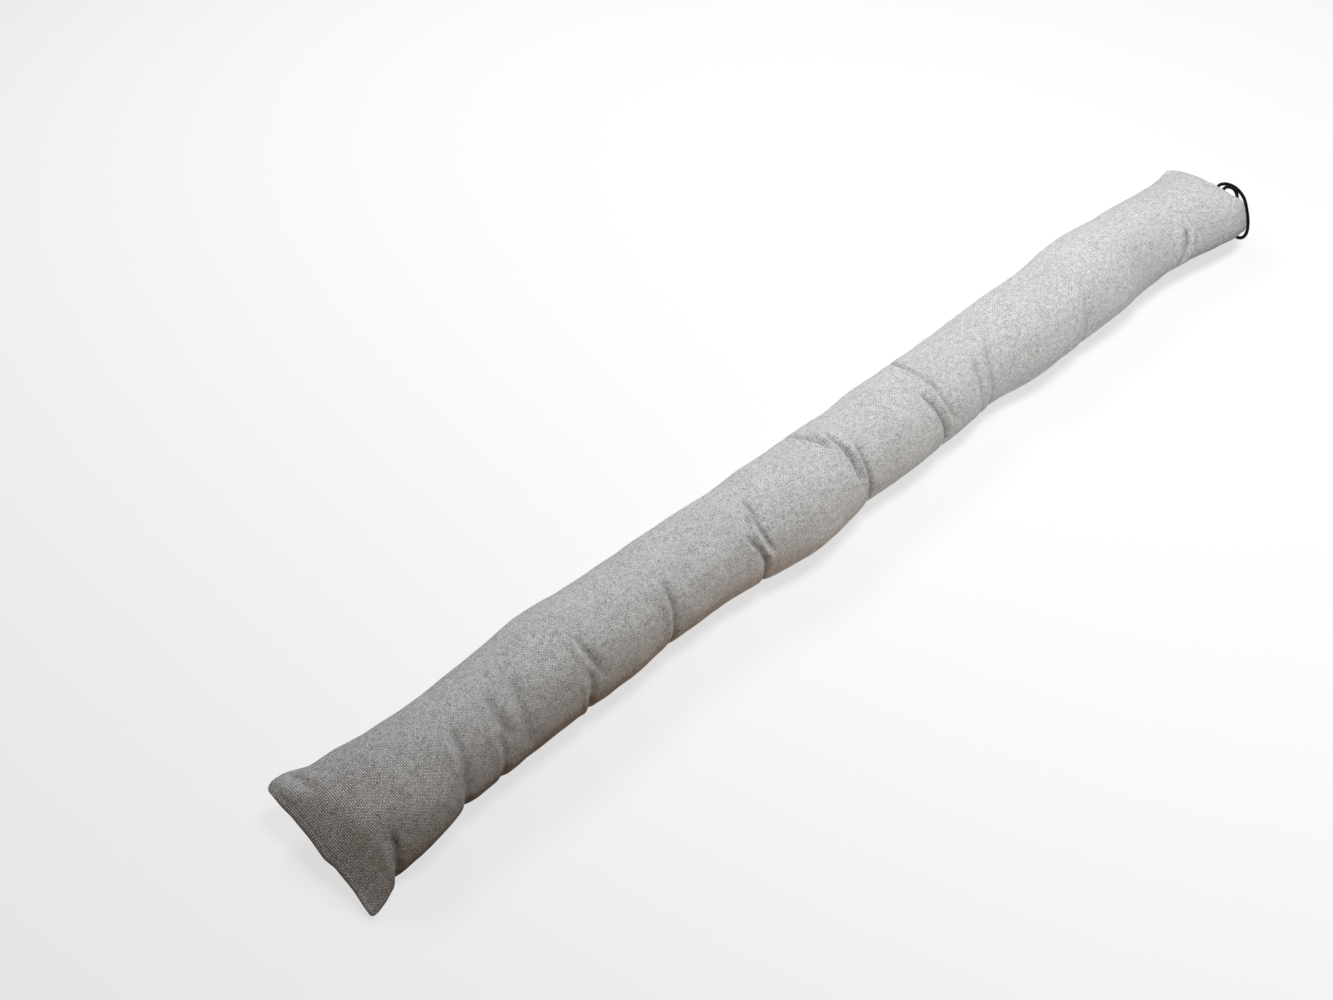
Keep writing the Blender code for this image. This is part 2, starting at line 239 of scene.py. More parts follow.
# The loop's route from one sewn end to the other, within 3 mm of the one in the part's source
LOOP_ROUTE = (
    (451.4, -8.0, 43.4),
    (458.5, -6.4, 42.8),
    (466.0, -8.4, 40.8),
    (472.0, -14.5, 37.0),
    (475.0, -22.5, 29.8),
    (473.6, -29.6, 20.5),
    (470.9, -35.2, 11.4),
    (467.2, -37.9, 4.6),
    (462.4, -36.6, 2.0),
    (459.4, -32.0, 3.9),
    (460.6, -27.0, 10.0),
    (464.5, -23.5, 18.5),
    (469.0, -20.8, 26.5),
    (470.3, -17.8, 33.2),
    (467.0, -14.4, 39.2),
    (459.6, -12.0, 43.0),
    (452.0, -12.7, 43.4),
)
LOOP_SIDES = 16
LOOP_PITCH = 0.8
# The sewn-in ends run on into the seam by this much
SEWN_IN = 2.0
# The cord's fine sheath: strands each way round it, and the distance from one crossing to the next
SHEATH_STRANDS = 8
SHEATH_PITCH = 0.0011

CAMERA_PLACE = (-0.6547, -0.5287, 0.937)
CAMERA_DIRECTION = (0.4483, 0.4855, -0.7506)


# Settings

class DraughtCoverSettings(bpy.types.PropertyGroup):
    girth: bpy.props.FloatProperty(
        name="Girth", description="Cloth round the tube", default=0.24, unit="LENGTH")
    yarn_pitch: bpy.props.FloatProperty(
        name="Yarn pitch", description="Distance from one yarn to the next", default=0.0012, unit="LENGTH")
    pressure: bpy.props.FloatProperty(
        name="Filling pressure", description="How hard the filling pushes the cloth out", default=4.0)
    light_yarn: bpy.props.FloatVectorProperty(
        name="Light fibres", description="Colour of the light fibres", subtype="COLOR", size=3,
        default=(0.83, 0.83, 0.81))
    dark_yarn: bpy.props.FloatVectorProperty(
        name="Grey fibres", description="Colour of the grey fibres mixed in", subtype="COLOR", size=3,
        default=(0.32, 0.32, 0.31))


class DraughtLoopSettings(bpy.types.PropertyGroup):
    diameter: bpy.props.FloatProperty(
        name="Thickness", description="Thickness of the round cord", default=0.0028, unit="LENGTH")
    colour: bpy.props.FloatVectorProperty(
        name="Colour", description="Colour of the cord", subtype="COLOR", size=3,
        default=(0.0025, 0.0025, 0.003))


class DraughtStageSettings(bpy.types.PropertyGroup):
    floor_size: bpy.props.FloatProperty(
        name="Floor", description="Side of the square floor", default=12.0, unit="LENGTH")
    lens: bpy.props.FloatProperty(
        name="Lens", description="Focal length of the camera in millimetres", default=45.91)
    brightness: bpy.props.FloatProperty(
        name="Light", description="Brightness of the lamps, where 1 is as photographed", default=1.0)


# Small tools

def ease(value):
    """0 below 0, 1 above 1, and smooth between."""
    value = min(1.0, max(0.0, value))
    return value * value * (3.0 - 2.0 * value)


def select_only(obj):
    bpy.ops.object.select_all(action="DESELECT")
    obj.select_set(True)
    bpy.context.view_layer.objects.active = obj


def mesh_object(name, mesh):
    obj = bpy.data.objects.new(name, mesh)
    bpy.context.scene.collection.objects.link(obj)
    return obj


def smooth_route(route, pitch):
    """Points about a pitch apart on a smooth curve through the route's points."""
    knots = [Vector(point) for point in route]
    knots = [2.0 * knots[0] - knots[1]] + knots + [2.0 * knots[-1] - knots[-2]]
    points = [knots[1]]
    for p0, p1, p2, p3 in zip(knots, knots[1:], knots[2:], knots[3:]):
        steps = max(1, round((p2 - p1).length / pitch))
        for step in range(1, steps + 1):
            t = step / steps
            points.append(0.5 * (
                2.0 * p1
                + (p2 - p0) * t
                + (2.0 * p0 - 5.0 * p1 + 4.0 * p2 - p3) * t ** 2
                + (3.0 * p1 - p0 - 3.0 * p2 + p3) * t ** 3
            ))
    return points


# Shader tools

class Nodes:
    """Adds nodes to a tree and joins them, with short names for the common ones."""

    def __init__(self, tree):
        self.tree = tree

    def add(self, kind, inputs=(), **settings):
        node = self.tree.nodes.new(kind)
        for name, value in settings.items():
            setattr(node, name, value)
        for socket, value in dict(inputs).items():
            self.feed(node.inputs[socket], value)
        return node

    def feed(self, socket, value):
        if isinstance(value, bpy.types.NodeSocket):
            self.tree.links.new(value, socket)
        else:
            socket.default_value = value

    def math(self, operation, *values, clamp=False):
        node = self.add("ShaderNodeMath", enumerate(values), operation=operation, use_clamp=clamp)
        return node.outputs[0]

    def mix(self, share, first, second, blend="MIX"):
        node = self.add("ShaderNodeMix", data_type="RGBA", blend_type=blend)
        self.feed(node.inputs["Factor"], share)
        self.feed(next(socket for socket in node.inputs if socket.identifier == "A_Color"), first)
        self.feed(next(socket for socket in node.inputs if socket.identifier == "B_Color"), second)
        return node.outputs[2]

    def noise(self, vector, scale, detail=2.0, roughness=0.5):
        node = self.add("ShaderNodeTexNoise", {
            "Vector": vector, "Scale": scale, "Detail": detail, "Roughness": roughness})
        return node.outputs["Fac"]

    def remap(self, value, low, high, new_low=0.0, new_high=1.0):
        node = self.add("ShaderNodeMapRange", {
            "Value": value, "From Min": low, "From Max": high, "To Min": new_low, "To Max": new_high})
        return node.outputs["Result"]

    def ease_in(self, value, low, high):
        """0 below low, 1 above high, and smooth between."""
        node = self.add("ShaderNodeMapRange", {
            "Value": value, "From Min": low, "From Max": high}, interpolation_type="SMOOTHSTEP")
        return node.outputs["Result"]

    def grey(self, value):
        return self.add("ShaderNodeCombineColor", {"Red": value, "Green": value, "Blue": value}).outputs[0]

    def join(self, x, y, z=0.0):
        return self.add("ShaderNodeCombineXYZ", {"X": x, "Y": y, "Z": z}).outputs[0]

    def split(self, vector):
        return self.add("ShaderNodeSeparateXYZ", {"Vector": vector}).outputs


def new_group(name, inputs, outputs):
    """A shader node group with these sockets. Returns the tree, its inputs and its output node."""
    tree = bpy.data.node_groups.new(name, "ShaderNodeTree")
    for socket, kind, default in inputs:
        made = tree.interface.new_socket(name=socket, in_out="INPUT", socket_type=kind)
        if default is not None:
            made.default_value = default
    for socket, kind in outputs:
        tree.interface.new_socket(name=socket, in_out="OUTPUT", socket_type=kind)
    return tree, tree.nodes.new("NodeGroupInput").outputs, tree.nodes.new("NodeGroupOutput")


def new_material(name):
    material = bpy.data.materials.new(name)
    material.use_nodes = True
    nodes = Nodes(material.node_tree)
    return material, nodes, material.node_tree.nodes["Principled BSDF"]


def plain_weave_group():
    """Plain weave of mixed light and grey fibres, over a UV map in metres: its colour and height."""
    tree, given, out = new_group(
        "Plain weave",
        (
            ("UV", "NodeSocketVector", None),
            ("Pitch", "NodeSocketFloat", 0.0012),
            ("Light fibres", "NodeSocketColor", (0.6, 0.6, 0.6, 1.0)),
            ("Grey fibres", "NodeSocketColor", (0.3, 0.3, 0.3, 1.0)),
        ),
        (("Color", "NodeSocketColor"), ("Height", "NodeSocketFloat")),
    )
    n = Nodes(tree)

    def wander(place, scale):
        """Up to a quarter of a yarn's pitch to either side."""
        return n.math("MULTIPLY", n.math("SUBTRACT", n.noise(place, scale, 1.0), 0.5), 0.5)

    def streaks(run, yarn, offset=0.0):
        """Light and grey streaks that are long along the yarn and differ from one yarn to the next."""
        place = n.join(n.math("MULTIPLY", run, 0.16), n.math("MULTIPLY", yarn, 0.83), offset)
        return n.noise(place, 1.7, 3.0, 0.7)

    # Yarns wander a little and are thicker here and thinner there
    along, across, _ = n.split(given["UV"])
    u = n.math("ADD", n.math("DIVIDE", along, given["Pitch"]), wander(given["UV"], 160.0))
    v = n.math("ADD", n.math("DIVIDE", across, given["Pitch"]), wander(n.join(across, along), 130.0))
    # Above zero a lengthwise yarn lies on top, and below zero one that runs round the tube
    wave = n.math("MULTIPLY",
                  n.math("COSINE", n.math("MULTIPLY", u, math.pi)),
                  n.math("COSINE", n.math("MULTIPLY", v, math.pi)))
    on_top = n.math("GREATER_THAN", wave, 0.0)
    crown = n.math("POWER", n.math("ABSOLUTE", wave), 0.55)
    # Each yarn carries its own streaks of light and grey fibres
    streak = n.add("ShaderNodeMix", data_type="FLOAT")
    n.feed(streak.inputs[0], on_top)
    n.feed(streak.inputs[2], streaks(v, n.math("ROUND", u), 40.0))
    n.feed(streak.inputs[3], streaks(u, n.math("ROUND", v)))
    fibres = n.remap(streak.outputs[0], 0.26, 0.56)
    colour = n.mix(fibres, given["Grey fibres"], given["Light fibres"])
    # Yarns that run round the tube are a little darker, and the gaps between crowns darkest, with painted
    # shade in these recesses between the yarns
    tone = n.math("MULTIPLY_ADD", on_top, 0.19, 0.80)
    tone = n.math("MULTIPLY", tone, n.math("MULTIPLY_ADD", crown, 0.29, 0.61))
    # Here and there a dark slub of fibre shows
    specks = n.noise(n.join(n.math("MULTIPLY", along, 0.5), across, 3.0), 900.0, 1.0)
    tone = n.math("MULTIPLY", tone, n.remap(specks, 0.66, 0.76, 1.0, 0.62))
    n.feed(out.inputs["Color"], n.mix(1.0, colour, n.grey(tone), "MULTIPLY"))
    n.feed(out.inputs["Height"], n.math("MULTIPLY_ADD", fibres, 0.15, crown))
    return tree


def cloth_material(settings):
    """Matt light grey weave, with uneven patches, and painted shade at the bottoms of the folds and along
    the near seam.
    """
    material, n, shader = new_material("light_grey_melange_weave")
    uv = n.add("ShaderNodeUVMap", uv_map="cloth").outputs["UV"]
    weave = n.add("ShaderNodeGroup", node_tree=plain_weave_group())
    n.feed(weave.inputs["UV"], uv)
    weave.inputs["Pitch"].default_value = settings.yarn_pitch
    weave.inputs["Light fibres"].default_value = (*settings.light_yarn, 1.0)
    weave.inputs["Grey fibres"].default_value = (*settings.dark_yarn, 1.0)
    patch = 1.0
    for scale, detail, share in PATCHES:
        uneven = n.remap(n.noise(uv, scale, detail), 0.3, 0.7, 1.0 - share, 1.0 + share)
        patch = n.math("MULTIPLY", uneven, patch)
    colour = n.mix(1.0, weave.outputs["Color"], n.grey(patch), "MULTIPLY")
    # Painted shade: the colour is drawn toward SHADE_COLOUR at the bottoms of the folds and along the near
    # seam
    painted_shade = n.add("ShaderNodeAttribute", attribute_name="painted_shade").outputs["Fac"]
    shaded = n.mix(1.0, colour, SHADE_COLOUR, "MULTIPLY")
    n.feed(shader.inputs["Base Color"], n.mix(painted_shade, colour, shaded))
    bump = n.add("ShaderNodeBump", {"Strength": 1.0, "Distance": 0.00048})
    n.feed(bump.inputs["Height"], weave.outputs["Height"])
    n.feed(shader.inputs["Normal"], bump.outputs["Normal"])
    shader.inputs["Roughness"].default_value = 0.92
    shader.inputs["Specular IOR Level"].default_value = 0.2
    shader.inputs["Sheen Weight"].default_value = 0.12
    shader.inputs["Sheen Roughness"].default_value = 0.5
    return material


def cord_material(settings):
    """Smooth black cord with a fine sheath, over a UV map in metres: along the cord, and round it."""
    material, n, shader = new_material("smooth_black_cord")
    along, around, _ = n.split(n.add("ShaderNodeUVMap", uv_map="cord").outputs["UV"])
    turn = n.math("MULTIPLY", around, 2.0 * math.pi * SHEATH_STRANDS / (math.pi * settings.diameter))
    run = n.math("MULTIPLY", along, 2.0 * math.pi / SHEATH_PITCH)
    one_way = n.math("SINE", n.math("ADD", turn, run))
    other_way = n.math("SINE", n.math("SUBTRACT", turn, run))
    sheath = n.math("MULTIPLY", one_way, other_way)
    fine = n.noise(n.join(n.math("MULTIPLY", along, 3.0), around), 1500.0, 2.0)
    # Painted shade in the dips of the sheath and painted highlight on its raised strands, times an uneven
    # fine tone
    tone = n.remap(sheath, -1.0, 1.0, 0.5, 1.9)
    tone = n.math("MULTIPLY", tone, n.remap(fine, 0.3, 0.7, 0.7, 1.5))
    n.feed(shader.inputs["Base Color"], n.mix(1.0, (*settings.colour, 1.0), n.grey(tone), "MULTIPLY"))
    bump = n.add("ShaderNodeBump", {"Strength": 0.9, "Distance": 0.00025})
    n.feed(bump.inputs["Height"], n.math("MULTIPLY_ADD", fine, 0.2, sheath))
    n.feed(shader.inputs["Normal"], bump.outputs["Normal"])
    shader.inputs["Roughness"].default_value = 0.5
    shader.inputs["Specular IOR Level"].default_value = 0.14
    return material


# The cover

def slopes(xs, values):
    """Slopes of a curve through the points that never overshoots them."""
    chords = [(values[i + 1] - values[i]) / (xs[i + 1] - xs[i]) for i in range(len(xs) - 1)]
    found = [chords[0]]
    for before, after in zip(chords, chords[1:]):
        same_way = before * after > 0.0
        found.append(2.0 * before * after / (before + after) if same_way else 0.0)
    found.append(chords[-1])
    return found


STATION_XS = [station.x for station in STATIONS]
STATION_SLOPES = [slopes(STATION_XS, values) for values in zip(*STATIONS)]


def station_at(x):
    """The section at x, read from a smooth curve through the stations."""
    index = max(i for i in range(len(STATION_XS) - 1) if STATION_XS[i] <= x or i == 0)
    span = STATION_XS[index + 1] - STATION_XS[index]
    t = (x - STATION_XS[index]) / span
    return Station(*(
        (1.0 + 2.0 * t) * (1.0 - t) ** 2 * values[index]
        + t * (1.0 - t) ** 2 * span * slope[index]
        + t * t * (3.0 - 2.0 * t) * values[index + 1]
        + t * t * (t - 1.0) * span * slope[index + 1]
        for values, slope in zip(zip(*STATIONS), STATION_SLOPES)
    ))


def dip_depth(x, angle):
    """How far the cloth is drawn in at x and at this angle round the section."""
    depth = 0.0
    for dip in DIPS:
        fade = ease((angle - dip.start) / FADE) * ease((dip.end - angle) / FADE)
        line = dip.x + dip.lean * (angle - dip.angle) / 90.0
        depth += dip.depth * fade * math.exp(-(((x - line) / dip.width) ** 2))
    return depth


def bend(station, u, v):
    """The point u along and v above a section's middle line, once its front side has curled down."""
    start = CURL_START * station.half_width
    curl = math.radians(station.curl)
    if u >= start or curl < 0.001:
        return u, v
    radius = (station.half_width + start) / curl
    turn = (start - u) / radius
    return (
        start - (radius + v) * math.sin(turn),
        (radius + v) * math.cos(turn) - radius,
    )


def section_point(station, x, angle):
    """The point at this angle round the section at x, in metres: 0 is its back corner, 90 its top."""
    across = math.cos(math.radians(angle))
    up = math.sin(math.radians(angle))
    u = station.half_width * across
    v = station.half_height * math.copysign(abs(up) ** station.corner, up)
    drawn_in = dip_depth(x, angle) + DRAWN_IN * min(1.0, station.half_height / DRAWN_IN_HEIGHT)
    kept = 1.0 - drawn_in / math.hypot(u, v)
    u, v = bend(station, u * kept, v * kept)
    tilt = math.radians(station.tilt)
    return Vector((
        x + station.skew * across + station.bow * (1.0 - across ** BOW_POWER),
        station.y + u * math.cos(tilt) - v * math.sin(tilt),
        max(0.0, station.z + u * math.sin(tilt) + v * math.cos(tilt)),
    )) * MM


def evenly_spaced(points, count):
    """This many points at even distances along a line of points, both of its ends included."""
    reached = [0.0]
    for before, after in zip(points, points[1:]):
        reached.append(reached[-1] + (after - before).length)
    found = []
    index = 0
    for step in range(count):
        distance = reached[-1] * step / (count - 1)
        while index < len(points) - 2 and reached[index + 1] < distance:
            index += 1
        share = (distance - reached[index]) / max(1e-9, reached[index + 1] - reached[index])
        found.append(points[index].lerp(points[index + 1], share))
    return found


def section_points(x):
    """Points at even distances round the section at x: over the top to the front, and back underneath."""
    station = station_at(x)
    halves = []
    for start in (0.0, 180.0):
        angles = [start + 180.0 * step / SECTION_SAMPLES for step in range(SECTION_SAMPLES + 1)]
        line = [section_point(station, x, angle) for angle in angles]
        halves += evenly_spaced(line, SIDES // 2 + 1)[:-1]
    return halves


def section_positions():
    """Where the mesh has a section: close together at the ends and the folds, wider apart between."""
    start = STATIONS[0].x
    end = STATIONS[-1].x
    spans = []
    for fold in FOLDS:
        xs = [x for _, x in fold.line]
        spans.append((min(xs) - FOLD_REACH, max(xs) + FOLD_REACH))
    positions = [start]
    while positions[-1] < end:
        x = positions[-1]
        from_end = min(x - start, end - x)
        step = FINE_STEP if any(low < x < high for low, high in spans) else COARSE_STEP
        positions.append(x + min(step, max(SMALLEST_STEP, END_STEP_RATIO * from_end)))
    positions[-1] = end
    if positions[-1] - positions[-2] < SMALLEST_STEP / 2.0:
        positions.pop(-2)
    return positions


def cover_mesh(settings):
    """The tube of cloth with a UV map in metres along and round it, closed at its two sewn ends."""
    bm = bmesh.new()
    positions = section_positions()
    rings = [[bm.verts.new(point) for point in section_points(x)] for x in positions]
    uv = bm.loops.layers.uv.new("cloth")
    round_step = settings.girth / SIDES
    for (x, ring), (next_x, after) in zip(zip(positions, rings), zip(positions[1:], rings[1:])):
        for side in range(SIDES):
            next_side = (side + 1) % SIDES
            face = bm.faces.new((ring[side], ring[next_side], after[next_side], after[side]))
            places = ((x, side), (x, side + 1), (next_x, side + 1), (next_x, side))
            for loop, (along, around) in zip(face.loops, places):
                loop[uv].uv = (along * MM, around * round_step)
    for ring, x, outward in ((rings[0], positions[0], -1), (rings[-1], positions[-1], 1)):
        for side in range(SIDES // 2):
            corners = [side, side + 1, (SIDES - side - 1) % SIDES, (SIDES - side) % SIDES]
            corners = list(dict.fromkeys(corners))[::outward]
            face = bm.faces.new([ring[corner] for corner in corners])
            for loop, corner in zip(face.loops, corners):
                top = corner if corner <= SIDES // 2 else SIDES - corner
                below = 0.0 if corner <= SIDES // 2 else outward * 0.002
                loop[uv].uv = (x * MM + below, top * round_step)
    bmesh.ops.recalc_face_normals(bm, faces=bm.faces)
    mesh = bpy.data.meshes.new("cloth_cover")
    bm.to_mesh(mesh)
    bm.free()
    return mesh, len(rings)


def swell(cover, ring_count, pressure):
    """Blows the cloth up from inside with its ends and dips held, and keeps the shape that it takes."""
    mesh = cover.data
    held = cover.vertex_groups.new(name="held")
    positions = section_positions()
    for ring in range(ring_count):
        from_end = min(positions[ring] - positions[0], positions[-1] - positions[ring])
        for side in range(SIDES):
            angle = 360.0 * side / SIDES
            weight = 1.0 - ease((from_end - HELD_END) / HELD_FADE)
            weight = max(weight, min(1.0, dip_depth(positions[ring], angle)))
            held.add([ring * SIDES + side], weight, "REPLACE")
    modifier = cover.modifiers.new("Cloth", "CLOTH")
    cloth = modifier.settings
    cloth.quality = 5
    cloth.mass = 0.3
    cloth.tension_stiffness = 15.0
    cloth.compression_stiffness = 15.0
    cloth.shear_stiffness = 5.0
    cloth.bending_stiffness = 0.5
    cloth.use_pressure = True
    cloth.uniform_pressure_force = pressure
    cloth.vertex_group_mass = "held"
    cloth.effector_weights.gravity = 0.0
    modifier.collision_settings.use_collision = False
    modifier.point_cache.frame_start = 1
    modifier.point_cache.frame_end = SWELL_FRAMES
    for step in range(1, SWELL_FRAMES + 1):
        bpy.context.scene.frame_set(step)
    shown = cover.evaluated_get(bpy.context.evaluated_depsgraph_get())
    swollen = [vertex.co.copy() for vertex in shown.data.vertices]
    cover.modifiers.remove(modifier)
    bpy.context.scene.frame_set(1)
    for vertex, place in zip(mesh.vertices, swollen):
        move = place - vertex.co
        if move.length > LARGEST_SWELL * MM:
            move *= LARGEST_SWELL * MM / move.length
        vertex.co += move
        vertex.co.z = max(0.0, vertex.co.z)


def along_line(line, angle):
    """The value at this angle on a line of (angle, value) pairs."""
    for (angle_a, value_a), (angle_b, value_b) in zip(line, line[1:]):
        if angle <= angle_b:
            break
    return value_a + (value_b - value_a) * ease((angle - angle_a) / (angle_b - angle_a))


def fold_height(x, angle):
    """How far the folds raise the cloth at x and at this angle round the tube, in millimetres."""
    height = 0.0
    for fold in FOLDS:
        line = fold.line
        if not line[0][0] < angle < line[-1][0]:
            continue
        if abs(x - line[len(line) // 2][1]) > FOLD_SEARCH:
            continue
        middle = along_line(line, angle)
        fade = ease((angle - line[0][0]) / FADE) * ease((line[-1][0] - angle) / FADE)
        height += fold.height * fade * math.exp(-(((x - middle) / fold.width) ** 2))
    return height


def lump_height(place):
    """How far the filling raises or sinks the cloth here, in millimetres."""
    return sum(height * noise.noise(place / (size * MM)) for size, height in LUMPS)


def shape_cloth(mesh, girth):
    """Presses the folds, the lumps of the filling and the edges into the mesh, and notes where shade is
    painted on its colour.
    """
    layer = mesh.uv_layers["cloth"].data
    places = [None] * len(mesh.vertices)
    for polygon in mesh.polygons:
        for loop_index in polygon.loop_indices:
            places[mesh.loops[loop_index].vertex_index] = layer[loop_index].uv
    normals = [normal.vector.copy() for normal in mesh.vertex_normals]
    first = STATIONS[0].x
    last = STATIONS[-1].x
    painted_shade = []
    for vertex, place, normal in zip(mesh.vertices, places, normals):
        x = place[0] / MM
        angle = 360.0 * place[1] / girth
        from_end = min(x - first, last - x)
        on_floor = 1.0 - ease((vertex.co.z / MM) / FLOOR_FADE)
        folds = fold_height(x, angle)
        # Painted shade along the near seam, fading away from it
        seam_painted_shade = NEAR_SHADE * (1.0 - ease((x - first - NEAR_SHADE_START) / NEAR_SHADE_REACH))
        # Painted shade at the bottoms of the fold troughs, darker the deeper they are
        painted_shade.append(max(seam_painted_shade, min(1.0, max(0.0, -folds / DEEPEST_SHADE)) ** SHADE_POWER))
        height = folds + lump_height(vertex.co) * ease(from_end / LUMPS_FADE)
        height -= SEAM_DEPTH * math.exp(-(((from_end - SEAM_INSET) / SEAM_WIDTH) ** 2))
        edge = along_line(NEAR_EDGE if x - first < last - x else FAR_EDGE, min(angle, 360.0 - angle))
        vertex.co += normal * height * MM * (1.0 - on_floor)
        vertex.co.x += edge * (1.0 - ease(from_end / EDGE_REACH)) * MM
        vertex.co.z = max(0.0, vertex.co.z)
    mesh.attributes.new("painted_shade", "FLOAT", "POINT").data.foreach_set("value", painted_shade)
    mesh.update()


class DRAUGHT_OT_cover(bpy.types.Operator):
    """Makes the filled cloth tube with its flat sewn ends, its folds and its weave"""

    bl_idname = "draught.cover"
    bl_label = "Cloth cover"

    def execute(self, context):
        settings = context.scene.draught_cover
        mesh, ring_count = cover_mesh(settings)
        cover = mesh_object("cloth_cover", mesh)
        swell(cover, ring_count, settings.pressure)
        select_only(cover)
        divided = cover.modifiers.new("Subdivision", "SUBSURF")
        divided.levels = divided.render_levels = 1
        bpy.ops.object.modifier_apply(modifier=divided.name)
        cover.vertex_groups.clear()
        shape_cloth(cover.data, settings.girth)
        cover.data.shade_smooth()
        cover.data.materials.append(cloth_material(settings))
        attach(cover, "root")
        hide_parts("cover")
        return {"FINISHED"}


# The hanging loop

def tube_mesh(points, radius):
    """A round tube along the points, closed at its ends, with a UV map in metres along and round it."""
    bm = bmesh.new()
    uv = bm.loops.layers.uv.new("cord")
    steps = [(after - before).normalized() for before, after in zip(points, points[1:])]
    between = [(before + after).normalized() for before, after in zip(steps, steps[1:])]
    tangents = [steps[0]] + between + [steps[-1]]
    side_way = tangents[0].orthogonal().normalized()
    rings = []
    reached = [0.0]
    for index, (point, tangent) in enumerate(zip(points, tangents)):
        side_way = (side_way - tangent * side_way.dot(tangent)).normalized()
        up_way = tangent.cross(side_way)
        if index:
            reached.append(reached[-1] + (point - points[index - 1]).length)
        rings.append([
            bm.verts.new(point + radius * (
                math.cos(2.0 * math.pi * side / LOOP_SIDES) * side_way
                + math.sin(2.0 * math.pi * side / LOOP_SIDES) * up_way))
            for side in range(LOOP_SIDES)
        ])
    round_step = 2.0 * math.pi * radius / LOOP_SIDES
    for index, (ring, after) in enumerate(zip(rings, rings[1:])):
        for side in range(LOOP_SIDES):
            next_side = (side + 1) % LOOP_SIDES
            face = bm.faces.new((ring[side], ring[next_side], after[next_side], after[side]))
            places = ((index, side), (index, side + 1), (index + 1, side + 1), (index + 1, side))
            for loop, (step, around) in zip(face.loops, places):
                loop[uv].uv = (reached[step], around * round_step)
    bm.faces.new(rings[0][::-1])
    bm.faces.new(rings[-1])
    bmesh.ops.recalc_face_normals(bm, faces=bm.faces)
    mesh = bpy.data.meshes.new("hanging_cord")
    bm.to_mesh(mesh)
    bm.free()
    return mesh


class DRAUGHT_OT_loop(bpy.types.Operator):
    """Makes the black cord loop, sewn into the seam at the far end and fallen down over it"""

    bl_idname = "draught.loop"
    bl_label = "Hanging loop"

    def execute(self, context):
        settings = context.scene.draught_loop
        points = smooth_route(LOOP_ROUTE, LOOP_PITCH)
        first = points[0] + (points[0] - points[3]).normalized() * SEWN_IN
        last = points[-1] + (points[-1] - points[-4]).normalized() * SEWN_IN
        points = [point * MM for point in (first, *points, last)]
        cord = mesh_object("hanging_cord", tube_mesh(points, settings.diameter / 2.0))
        cord.data.shade_smooth()
        cord.data.materials.append(cord_material(settings))
        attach(cord, "root")
        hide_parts("hanging_loop")
        return {"FINISHED"}


# The studio

# Soft spots: place, point aimed at, half angle of the cone in degrees, radius, power and colour
Lamp = namedtuple("Lamp", "name place target half_angle radius power colour")
LAMPS = (
    Lamp("key_lamp", (0.108, 0.893, 1.066), (-0.24, 0.0, 0.0), 68.8, 0.22, 40.0, (0.85, 0.92, 1.0)),
    Lamp("fill_lamp", (0.097, -0.214, 1.525), (0.99, 0.0, 0.0), 63.5, 0.25, 138.0, (0.93, 0.97, 1.0)),
)
WORLD_COLOUR = (0.12, 0.07, 0.04)
WHITE = (1.0, 1.0, 1.0, 1.0)
# What the floor throws back up at the cloth, along X in metres: it grows from dim to full between the
# first two places, and falls by a share between the next two. It is warm up to the fifth, and white
# from the last on.
DIM_BOUNCE = (0.16, 0.16, 0.16, 1.0)
BOUNCE_GROWS = (-0.42, 0.12)
BOUNCE_FALLS = (0.32, 0.44)
BOUNCE_LOSS = 0.68
WARM_BOUNCE = (1.26, 0.97, 0.76, 1.0)
BOUNCE_WHITENS = (-0.22, 0.10)


def floor_material():
    """Pale to the eye. Its bounce on the cloth is warm and weak at the near end, and white further on."""
    material, n, shader = new_material("pale_floor")
    tree = material.node_tree
    shader.inputs["Base Color"].default_value = (0.8, 0.8, 0.8, 1.0)
    shader.inputs["Roughness"].default_value = 0.9
    shader.inputs["Specular IOR Level"].default_value = 0.0
    glow = n.add("ShaderNodeEmission", {"Color": WHITE, "Strength": 0.92})
    seen = n.add("ShaderNodeMixShader", {0: 0.25, 1: glow.outputs[0], 2: shader.outputs[0]})
    x, _, _ = n.split(n.add("ShaderNodeTexCoord").outputs["Object"])
    lost = n.math("MULTIPLY", n.ease_in(x, *BOUNCE_FALLS), BOUNCE_LOSS)
    bright = n.math("MULTIPLY", n.ease_in(x, *BOUNCE_GROWS), n.math("SUBTRACT", 1.0, lost))
    tint = n.mix(n.ease_in(x, *BOUNCE_WHITENS), WARM_BOUNCE, WHITE)
    colour = n.mix(1.0, n.mix(bright, DIM_BOUNCE, WHITE), tint, "MULTIPLY")
    bounce = n.add("ShaderNodeBsdfDiffuse", {"Color": colour})
    path = n.add("ShaderNodeLightPath")
    both = n.add("ShaderNodeMixShader", {1: bounce.outputs[0], 2: seen.outputs[0]})
    n.feed(both.inputs[0], path.outputs["Is Camera Ray"])
    tree.links.new(both.outputs[0], tree.nodes["Material Output"].inputs["Surface"])
    return material


def face_toward(obj, target):
    obj.rotation_mode = "QUATERNION"
    obj.rotation_quaternion = (Vector(target) - obj.location).to_track_quat("-Z", "Y")


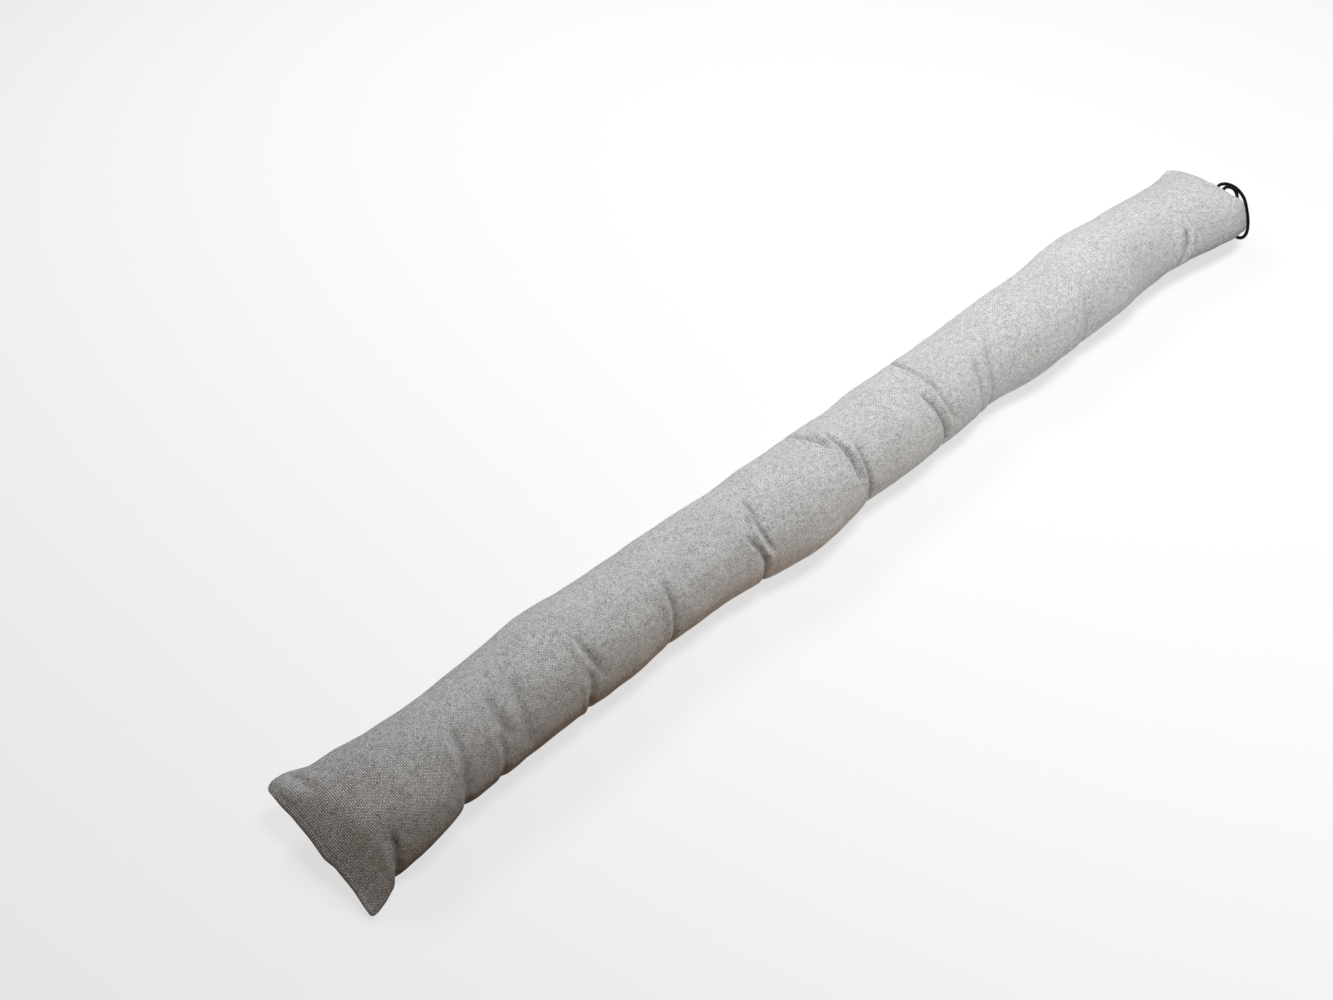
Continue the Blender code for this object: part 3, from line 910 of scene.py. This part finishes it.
class DRAUGHT_OT_stage(bpy.types.Operator):
    """Makes the camera, the pale floor, the lamps and the surrounding light"""

    bl_idname = "draught.stage"
    bl_label = "Studio"

    def execute(self, context):
        settings = context.scene.draught_stage
        scene = context.scene
        camera = bpy.data.objects.new("camera", bpy.data.cameras.new("camera"))
        scene.collection.objects.link(camera)
        camera.data.lens = settings.lens
        camera.data.sensor_width = 36.0
        camera.data.clip_start = 0.01
        camera.data.clip_end = 100.0
        camera.location = CAMERA_PLACE
        face_toward(camera, camera.location + Vector(CAMERA_DIRECTION))
        scene.camera = camera

        bpy.ops.object.select_all(action="DESELECT")
        bpy.ops.mesh.primitive_plane_add(size=settings.floor_size)
        floor = bpy.context.object
        floor.name = "floor"
        floor.data.materials.append(floor_material())

        for lamp in LAMPS:
            light = bpy.data.lights.new(lamp.name, "SPOT")
            light.spot_size = math.radians(2.0 * lamp.half_angle)
            light.spot_blend = 1.0
            light.shadow_soft_size = lamp.radius
            light.energy = lamp.power * settings.brightness
            light.color = lamp.colour
            obj = bpy.data.objects.new(lamp.name, light)
            scene.collection.objects.link(obj)
            obj.location = lamp.place
            face_toward(obj, lamp.target)

        world = bpy.data.worlds.new("studio")
        world.use_nodes = True
        n = Nodes(world.node_tree)
        background = world.node_tree.nodes["Background"]
        seen = n.add("ShaderNodeLightPath").outputs["Is Camera Ray"]
        n.feed(background.inputs["Color"], n.mix(seen, (*WORLD_COLOUR, 1.0), WHITE))
        scene.world = world
        scene.view_settings.view_transform = "Standard"
        return {"FINISHED"}


# The panel and the run

class DRAUGHT_PT_panel(bpy.types.Panel):
    bl_idname = "DRAUGHT_PT_panel"
    bl_label = "Draught excluder"
    bl_space_type = "VIEW_3D"
    bl_region_type = "UI"
    bl_category = "Draught excluder"

    def draw(self, context):
        layout = self.layout
        for operator, group in OPERATORS:
            layout.operator(operator.bl_idname)
            settings = getattr(context.scene, group)
            for name in settings.bl_rna.properties.keys():
                if name not in ("rna_type", "name"):
                    layout.prop(settings, name)


OPERATORS = (
    (DRAUGHT_OT_stage, "draught_stage"),
    (DRAUGHT_OT_loop, "draught_loop"),
    (DRAUGHT_OT_cover, "draught_cover"),
)
SETTINGS = {
    "draught_stage": DraughtStageSettings,
    "draught_loop": DraughtLoopSettings,
    "draught_cover": DraughtCoverSettings,
}


def register():
    for name, group in SETTINGS.items():
        bpy.utils.register_class(group)
        setattr(bpy.types.Scene, name, bpy.props.PointerProperty(type=group))
    for operator, _ in OPERATORS:
        bpy.utils.register_class(operator)
    bpy.utils.register_class(DRAUGHT_PT_panel)


def unregister():
    bpy.utils.unregister_class(DRAUGHT_PT_panel)
    for operator, _ in reversed(OPERATORS):
        bpy.utils.unregister_class(operator)
    for name, group in SETTINGS.items():
        delattr(bpy.types.Scene, name)
        bpy.utils.unregister_class(group)


def main():
    register()
    bpy.ops.draught.stage()
    bpy.ops.draught.loop()
    bpy.ops.draught.cover()
    bpy.context.view_layer.update()


if __name__ == "__main__":
    main()
